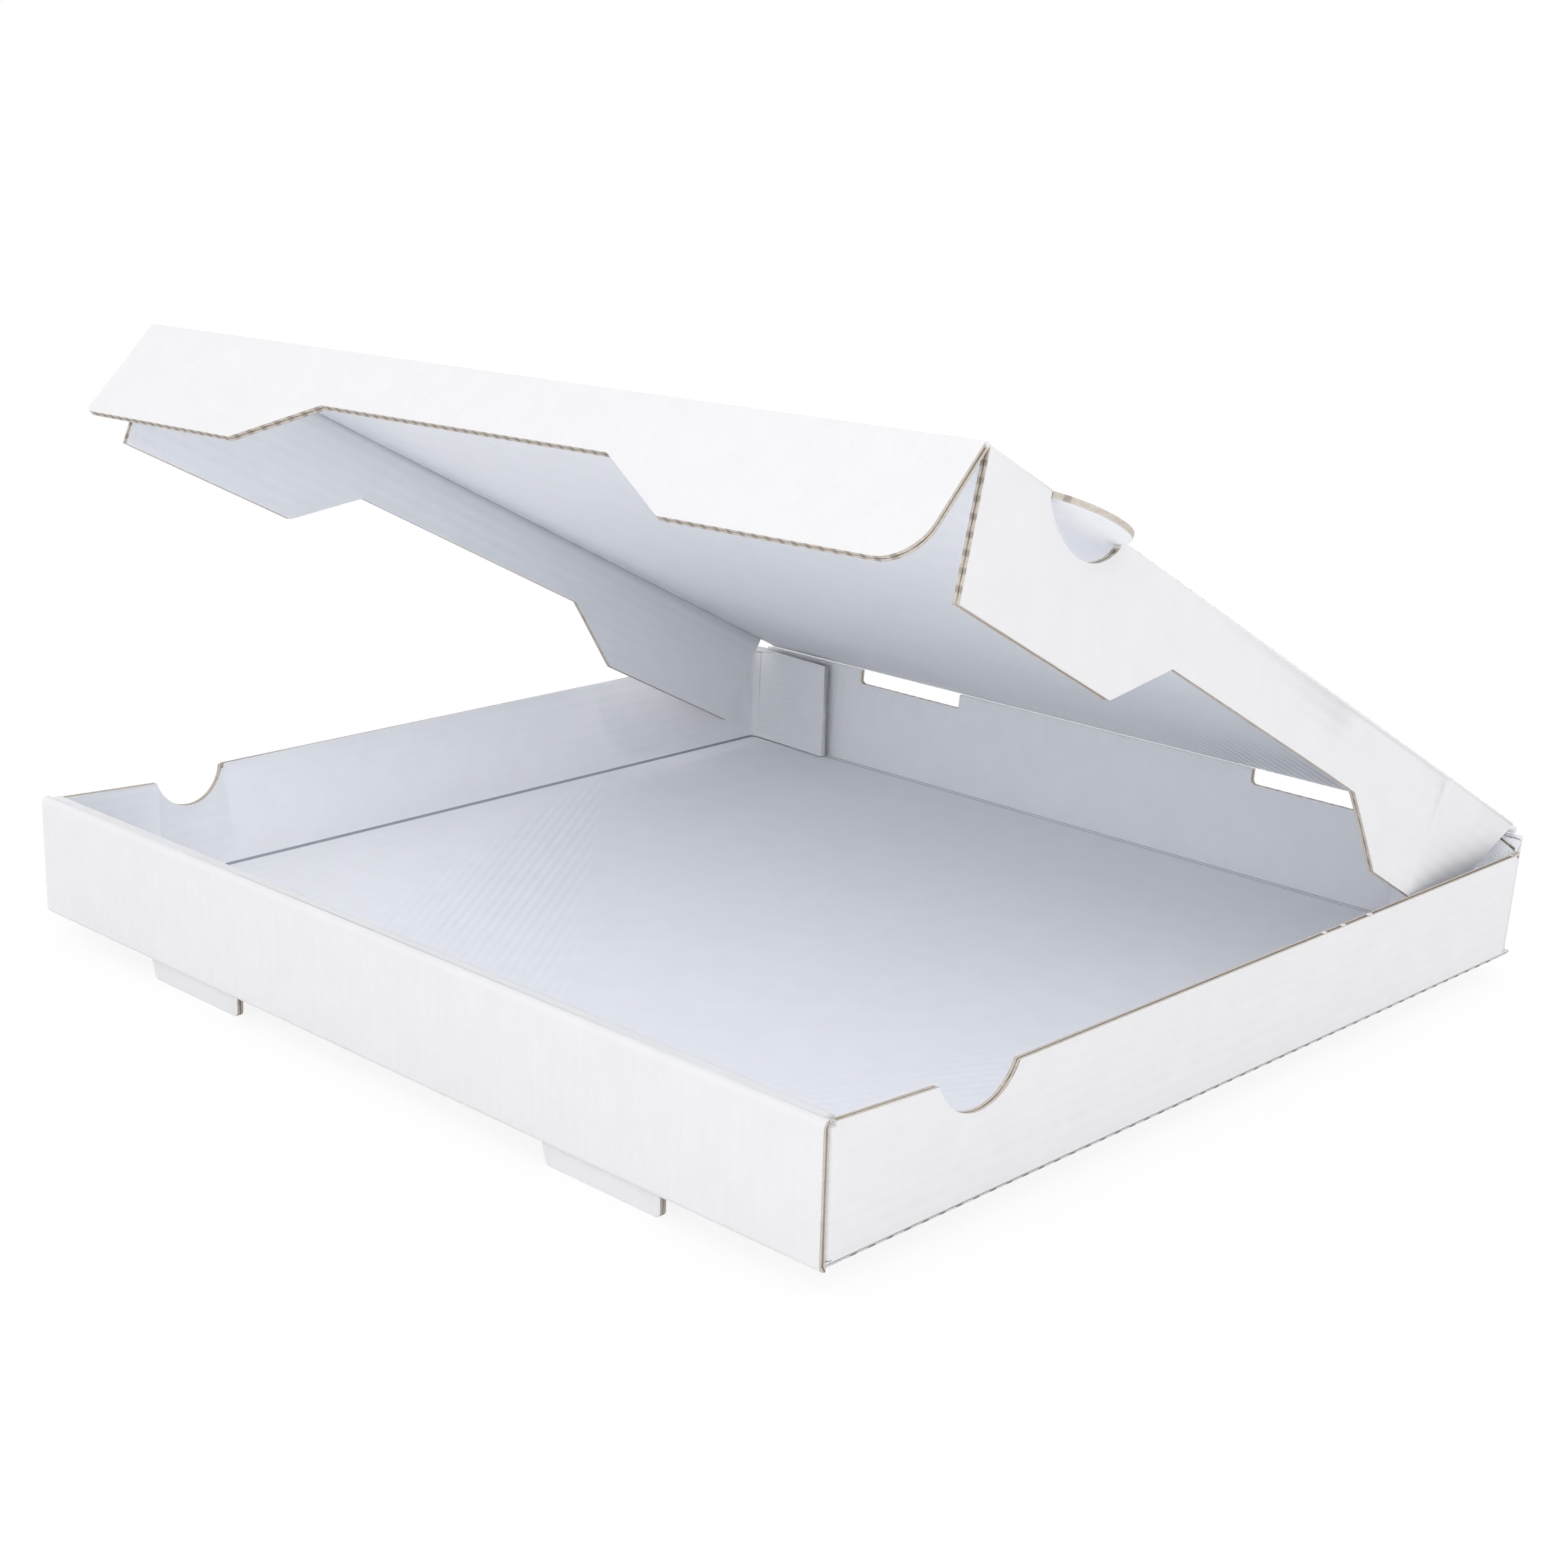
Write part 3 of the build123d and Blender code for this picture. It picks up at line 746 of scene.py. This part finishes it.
# %% The fluted paper's tree
def new_tree(name, numbers):
    """A Geometry Nodes tree that takes lines, some numbers and a material."""
    tree = bpy.data.node_groups.new(name, "GeometryNodeTree")
    sockets = tree.interface
    sockets.new_socket("Geometry", in_out="INPUT", socket_type="NodeSocketGeometry")
    for number in numbers:
        sockets.new_socket(number, in_out="INPUT", socket_type="NodeSocketFloat")
    sockets.new_socket("Material", in_out="INPUT", socket_type="NodeSocketMaterial")
    sockets.new_socket("Geometry", in_out="OUTPUT", socket_type="NodeSocketGeometry")
    return tree


def flute_tree():
    """Turns the middle lines of cut edges into the wave of fluted paper."""
    tree = new_tree("fluted_paper", ("Flute pitch", "Wave height", "Ribbon depth",
                                     "Paper thickness", "Point spacing"))
    given = add(tree, "NodeGroupInput").outputs
    line = add(tree, "GeometryNodeMeshToCurve", {0: given["Geometry"]})
    line = add(tree, "GeometryNodeResampleCurve", {"Curve": line.outputs[0],
                                                   "Length": given["Point spacing"]},
               mode="LENGTH")
    out = add(tree, "GeometryNodeInputNamedAttribute", {"Name": "out_of_board"},
              data_type="FLOAT_VECTOR").outputs[0]
    inward = add(tree, "GeometryNodeInputNamedAttribute", {"Name": "into_board"},
                 data_type="FLOAT_VECTOR").outputs[0]
    across = add(tree, "GeometryNodeInputNamedAttribute", {"Name": "across_flutes"},
                 data_type="FLOAT").outputs[0]
    turns = add(tree, "ShaderNodeMath", {0: across, 1: given["Flute pitch"]},
                operation="DIVIDE")
    angle = add(tree, "ShaderNodeMath", {0: turns.outputs[0], 1: 2 * math.pi},
                operation="MULTIPLY")
    wave = add(tree, "ShaderNodeMath", {0: angle.outputs[0]}, operation="SINE")
    rise = add(tree, "ShaderNodeMath", {0: wave.outputs[0], 1: given["Wave height"]},
               operation="MULTIPLY")
    shift = add(tree, "ShaderNodeVectorMath", {0: out, "Scale": rise.outputs[0]},
                operation="SCALE")
    line = add(tree, "GeometryNodeSetPosition", {"Geometry": line.outputs[0],
                                                 "Offset": shift.outputs[0]})
    edges = add(tree, "GeometryNodeCurveToMesh", {0: line.outputs[0]})
    depth = add(tree, "ShaderNodeVectorMath", {0: inward, "Scale": given["Ribbon depth"]},
                operation="SCALE")
    ribbon = add(tree, "GeometryNodeExtrudeMesh", {"Mesh": edges.outputs[0],
                                                   "Offset": depth.outputs[0],
                                                   "Offset Scale": 1.0}, mode="EDGES")
    thick = add(tree, "ShaderNodeVectorMath", {0: out, "Scale": given["Paper thickness"]},
                operation="SCALE")
    front = add(tree, "GeometryNodeExtrudeMesh", {"Mesh": ribbon.outputs[0],
                                                  "Offset": thick.outputs[0],
                                                  "Offset Scale": 1.0, "Individual": False},
                mode="FACES")
    back = add(tree, "GeometryNodeFlipFaces", {0: ribbon.outputs[0]})
    both = add(tree, "GeometryNodeJoinGeometry")
    tree.links.new(front.outputs[0], both.inputs[0])
    tree.links.new(back.outputs[0], both.inputs[0])
    closed = add(tree, "GeometryNodeMergeByDistance", {"Geometry": both.outputs[0],
                                                       "Distance": 0.001 * mm})
    real = add(tree, "GeometryNodeRealizeInstances", {0: closed.outputs[0]})
    painted = add(tree, "GeometryNodeSetMaterial", {"Geometry": real.outputs[0],
                                                    "Material": given["Material"]})
    add(tree, "NodeGroupOutput", {0: painted.outputs[0]})
    return tree


fluted_paper = flute_tree()
print(fluted_paper.name, len(fluted_paper.nodes), "nodes")

# %% [markdown]
# A tree needs something to run on: a mesh with nothing but points and lines, which carries the
# directions at each point as attributes. What the tree makes of it is kept as a plain mesh,
# so that every program can read it, and the carrier is thrown away.

# %% The fluted paper in the cut edges
RECESS = 0.12 * mm  # how far the wave lies behind the lips


def set_inputs(modifier, values):
    """Sets a tree's named inputs, each by its socket's identifier."""
    for item in modifier.node_group.interface.items_tree:
        if item.item_type == "SOCKET" and item.in_out == "INPUT" and item.name in values:
            modifier[item.identifier] = values[item.name]


def grown(name, points, lines, attributes, tree, values):
    """Runs a Geometry Nodes tree on lines and keeps its result as a plain mesh."""
    seed = bpy.data.meshes.new(name + "_lines")
    seed.from_pydata([tuple(point) for point in points], lines, [])
    for label, (kind, data) in attributes.items():
        layer = seed.attributes.new(label, kind, "POINT")
        if kind == "FLOAT_VECTOR":
            layer.data.foreach_set("vector", [number for item in data for number in item])
        else:
            layer.data.foreach_set("value", data)
    carrier = placed(name + "_lines", seed)
    modifier = carrier.modifiers.new("tree", "NODES")
    modifier.node_group = tree
    set_inputs(modifier, values)
    graph = bpy.context.evaluated_depsgraph_get()
    mesh = bpy.data.meshes.new_from_object(carrier.evaluated_get(graph), depsgraph=graph)
    bpy.data.objects.remove(carrier)
    mesh.name = name
    shape = bmesh.new()
    shape.from_mesh(mesh)
    bmesh.ops.recalc_face_normals(shape, faces=shape.faces)
    shape.to_mesh(mesh)
    shape.free()
    print(name, len(mesh.polygons), "faces")
    return placed(name, mesh)


riders = []
for node_name, (points, lines) in board_paths.items():
    paper_wave = grown(
        node_name + "_flutes",
        [middle + inward * RECESS for middle, out, inward, across in points],
        lines,
        {
            "out_of_board": ("FLOAT_VECTOR", [point[1] for point in points]),
            "into_board": ("FLOAT_VECTOR", [point[2] for point in points]),
            "across_flutes": ("FLOAT", [point[3] for point in points]),
        },
        fluted_paper,
        {
            "Flute pitch": FLUTE_PITCH,
            "Wave height": (BOARD - 2 * LINER - PAPER) / 2,
            "Ribbon depth": CUT_DEPTH - 1.2 * RECESS,
            "Paper thickness": PAPER,
            "Point spacing": FLUTE_PITCH / 9,
            "Material": flute_kraft,
        },
    )
    riders.append((paper_wave, node_name))

# %% [markdown]
# A fold along the flutes would crack the liner, so the die cuts it through every 5 mm. On the
# real box these cuts open a little at the fold and show as an even row of dark dashes, the
# shade in them. They repeat along a line, which is work for Geometry Nodes: a slim spindle of
# kraft in that painted shade, sunk into the fold so that only a sliver shows, is set every 5 mm
# and turned along the line.

# %% The perforation's tree
def perforation_tree():
    """Sets a slim spindle at every step along a line and turns it along the line."""
    tree = new_tree("perforation", ("Pitch", "Cut length", "Cut width"))
    given = add(tree, "NodeGroupInput").outputs
    line = add(tree, "GeometryNodeMeshToCurve", {0: given["Geometry"]})
    stops = add(tree, "GeometryNodeCurveToPoints", {"Curve": line.outputs[0],
                                                    "Length": given["Pitch"]}, mode="LENGTH")
    turn = add(tree, "FunctionNodeAlignRotationToVector",
               {"Vector": stops.outputs["Tangent"]}, axis="X")
    half_length = add(tree, "ShaderNodeMath", {0: given["Cut length"], 1: 0.5},
                      operation="MULTIPLY").outputs[0]
    half_width = add(tree, "ShaderNodeMath", {0: given["Cut width"], 1: 0.5},
                     operation="MULTIPLY").outputs[0]
    scale = add(tree, "ShaderNodeCombineXYZ", {0: half_length, 1: half_width, 2: half_width})
    spindle = add(tree, "GeometryNodeMeshIcoSphere", {"Radius": 1.0, "Subdivisions": 2})
    copies = add(tree, "GeometryNodeInstanceOnPoints", {"Points": stops.outputs["Points"],
                                                        "Instance": spindle.outputs[0],
                                                        "Rotation": turn.outputs[0],
                                                        "Scale": scale.outputs[0]})
    real = add(tree, "GeometryNodeRealizeInstances", {0: copies.outputs[0]})
    painted = add(tree, "GeometryNodeSetMaterial", {"Geometry": real.outputs[0],
                                                    "Material": given["Material"]})
    add(tree, "NodeGroupOutput", {0: painted.outputs[0]})
    return tree


perforation = perforation_tree()
print(perforation.name, len(perforation.nodes), "nodes")

# %% [markdown]
# The rows need their place. A side flap folds on its joint's line, so the row lies a little
# outside that line. The fold under a side wall is a bend with no joint, so a ray from outside
# finds its surface.

# %% Perforation along the side folds
PERFORATION_PITCH = 5.0 * mm
TRAY_ROW = (-116 * mm, 114 * mm)  # the row's ends along Y
FLAP_ROW = (12 * mm, 190 * mm)    # the row's ends from the hinge
FOLD_VIEW = math.radians(25)      # the tray's dashes face outward and this much down
FOLD_MIDDLE = 129.9 * mm          # the middle of the bend under a side wall, along X
TRAY_DASH_SINK = 0.1 * mm
FLAP_DASH_PROUD = 0.45 * BOARD


def flap_fold_points(node, side):
    """The two ends of the row on the outside of a side flap's fold."""
    joint = joints[node[4:] + "_fold"]
    start = Vector(joint["pos_m"])
    along = Vector(joint["axis"]).normalized()
    if along.z < 0:
        along = -along
    proud = (Vector((side, 0, 0)) + lid_up).normalized() * FLAP_DASH_PROUD
    return [start + along * distance + proud for distance in FLAP_ROW]


def tray_fold_point(surface, side, y):
    """A point just under the surface of the fold below a side wall, found by a ray."""
    outward = Vector((side * math.cos(FOLD_VIEW), 0, -math.sin(FOLD_VIEW)))
    middle_of_fold = Vector((side * FOLD_MIDDLE, y, BOARD))
    start = middle_of_fold + outward * (10 * mm)
    hit = surface.ray_cast(start, -outward)[0]
    print("fold met at", [round(value / mm, 2) for value in hit], "mm")
    return hit - outward * TRAY_DASH_SINK


def tray_fold_points():
    """The ends of the two rows under the tray's side walls, right row first."""
    shape = bmesh.new()
    shape.from_mesh(frame["nodes"]["tray"].data)
    surface = BVHTree.FromBMesh(shape)
    ends = [tray_fold_point(surface, side, y) for side in (1, -1) for y in TRAY_ROW]
    shape.free()
    return ends


# For each node: the rows' ends, and the length and width of a cut that has opened
rows = {
    "tray": (tray_fold_points(), 2.6 * mm, 0.5 * mm),
    "lid_right_flap": (flap_fold_points("lid_right_flap", 1), 1.8 * mm, 0.2 * mm),
    "lid_left_flap": (flap_fold_points("lid_left_flap", -1), 1.8 * mm, 0.2 * mm),
}
for node_name, (ends, cut_length, cut_width) in rows.items():
    dashes = grown(
        node_name + "_perforation", ends, [(i, i + 1) for i in range(0, len(ends), 2)], {},
        perforation,
        {
            "Pitch": PERFORATION_PITCH,
            "Cut length": cut_length,
            "Cut width": cut_width,
            "Material": perforation_shade_kraft,
        },
    )
    riders.append((dashes, node_name))

# %% [markdown]
# Small signs of handling: where the right flap rubs on the wall, three tufts of white liner
# have been pulled over the wall's brown edge. They are tiny, so a squashed ball with a few
# faces and a ragged rim is enough. Each is a little longer than the one before.

# %% Frayed tufts on the right wall's edge
TUFT_PLACES = (37.9 * mm, 45.6 * mm, 56.6 * mm)  # along Y
TUFT_SIDE = 130.8 * mm                           # middle of the wall's edge, along X
TUFT_HEIGHT = 26.45 * mm                         # of the wall's edge above the base
TUFT_WIDTH, TUFT_THICKNESS = 0.72 * mm, 0.3 * mm


def frayed_tufts(name):
    """Three squashed balls of liner in one mesh, which lie on the wall's cut edge."""
    shape = bmesh.new()
    for number, y in enumerate(TUFT_PLACES):
        length = (0.7 + 0.15 * number) * mm
        for vert in bmesh.ops.create_icosphere(shape, subdivisions=2, radius=1.0)["verts"]:
            ragged = 1 + 0.18 * math.sin(9 * vert.co.x + 7 * vert.co.y + number)
            vert.co = Vector((TUFT_SIDE + vert.co.x * TUFT_WIDTH * ragged,
                              y + vert.co.y * length * ragged,
                              TUFT_HEIGHT + vert.co.z * TUFT_THICKNESS))
    data = bpy.data.meshes.new(name)
    shape.to_mesh(data)
    shape.free()
    data.materials.append(coated_liner)
    print(name, len(data.polygons), "faces")
    return placed(name, data)


riders.append((frayed_tufts("tray_frayed_tufts"), "tray"))

# %% [markdown]
# This step says what stands for what. Each board replaces the solid piece that it was copied
# from and rides on the same body. The paper in its edges, the perforation and the tufts only
# ride on it.

# %% Tell the frame
for node_name, board in boards.items():
    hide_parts(node_name)
    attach(board, node_name)
for piece, node_name in riders:
    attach(piece, node_name)
print("boards:", len(boards), "riders:", len(riders))
